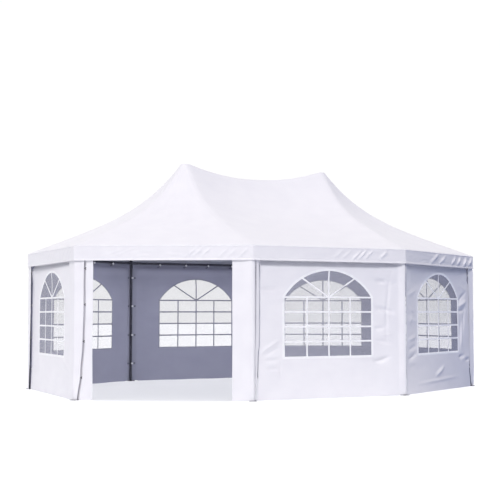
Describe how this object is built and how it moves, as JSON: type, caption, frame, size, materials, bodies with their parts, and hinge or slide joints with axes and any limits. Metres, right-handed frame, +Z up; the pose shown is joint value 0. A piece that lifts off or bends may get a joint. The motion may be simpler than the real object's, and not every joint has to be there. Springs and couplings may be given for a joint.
{
  "type": "marquee tent",
  "caption": "White party marquee with a long polygonal plan, a hollow-curved peaked roof, arched window walls, an open entrance bay and a tubular steel frame on flat feet.",
  "frame": {"origin": "on the ground at the middle of the tent's plan", "axes": "+X along the ridge from the left peak to the right peak, +Y from the front to the back, +Z up"},
  "size_m": [6.8912, 5.0468, 3.552],
  "materials": {
    "roof_cloth": "white coated woven polyethylene, smooth with a faint weave",
    "wall_cloth": "white coated woven polyethylene with soft creases, blue-grey where it is in shade",
    "window_film": "clear flexible window film",
    "frame_steel": "grey powder coated round steel tube"
  },
  "bodies": {
    "root": {"roof_canopy": "roof_cloth", "wall_front": "wall_cloth", "wall_front_right": "wall_cloth", "wall_right": "wall_cloth", "wall_back_right": "wall_cloth", "wall_back": "wall_cloth", "wall_back_left": "wall_cloth", "wall_left": "wall_cloth", "entrance_strip_left": "wall_cloth", "entrance_strip_right": "wall_cloth", "window_front": "window_film", "window_front_right": "window_film", "window_right": "window_film", "window_back_right": "window_film", "window_back": "window_film", "window_back_left": "window_film", "window_left": "window_film", "post_front_left": "frame_steel", "post_front_right": "frame_steel", "post_right_front": "frame_steel", "post_right_back": "frame_steel", "post_back_right": "frame_steel", "post_back_left": "frame_steel", "post_left_back": "frame_steel", "post_left_front": "frame_steel", "eave_rail_front": "frame_steel", "eave_rail_front_right": "frame_steel", "eave_rail_right": "frame_steel", "eave_rail_back_right": "frame_steel", "eave_rail_back": "frame_steel", "eave_rail_back_left": "frame_steel", "eave_rail_left": "frame_steel", "eave_rail_entrance": "frame_steel", "rafter_front_left": "frame_steel", "rafter_front_right": "frame_steel", "rafter_right_front": "frame_steel", "rafter_right_back": "frame_steel", "rafter_back_right": "frame_steel", "rafter_back_left": "frame_steel", "rafter_left_back": "frame_steel", "rafter_left_front": "frame_steel", "crown_left": "frame_steel", "crown_right": "frame_steel", "ridge_bar": "frame_steel"}
  },
  "joints": []
}
